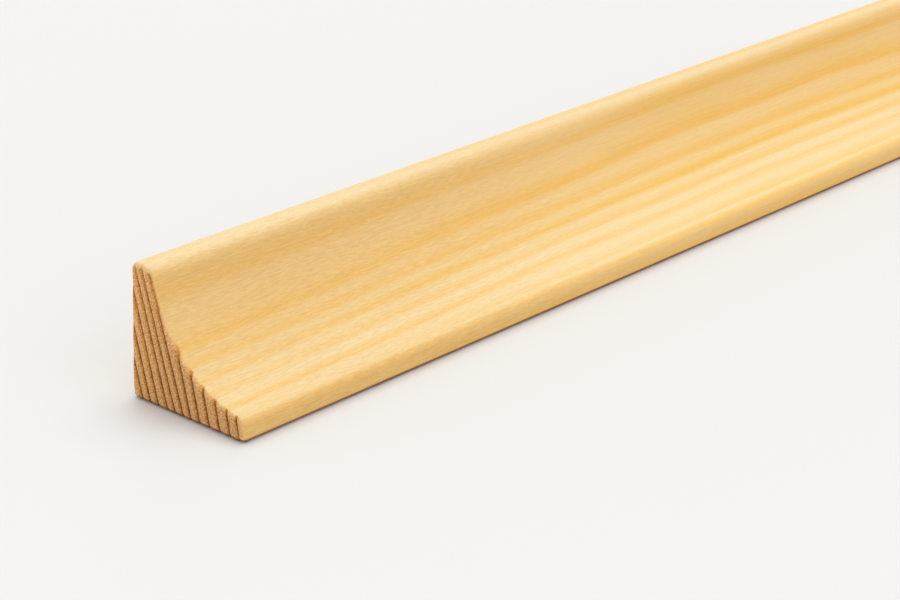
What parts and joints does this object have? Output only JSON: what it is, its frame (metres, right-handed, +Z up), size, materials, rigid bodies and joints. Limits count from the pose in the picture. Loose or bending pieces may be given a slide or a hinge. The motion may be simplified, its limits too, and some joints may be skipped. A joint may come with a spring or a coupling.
{
  "type": "scotia moulding",
  "caption": "Straight softwood scotia (cove) moulding: flat back and base at a right angle, hollow quarter-round face, rounded nose and toe, square-cut ends.",
  "frame": {"origin": "middle of the flat base, on the surface the moulding stands on", "axes": "+X along the moulding, +Y out of the flat back, +Z up from the flat base; the hollow faces -Y and up"},
  "size_m": [0.3, 0.03, 0.028],
  "materials": {
    "pine": "matte"
  },
  "bodies": {
    "root": {"scotia_moulding": "pine"}
  },
  "joints": []
}
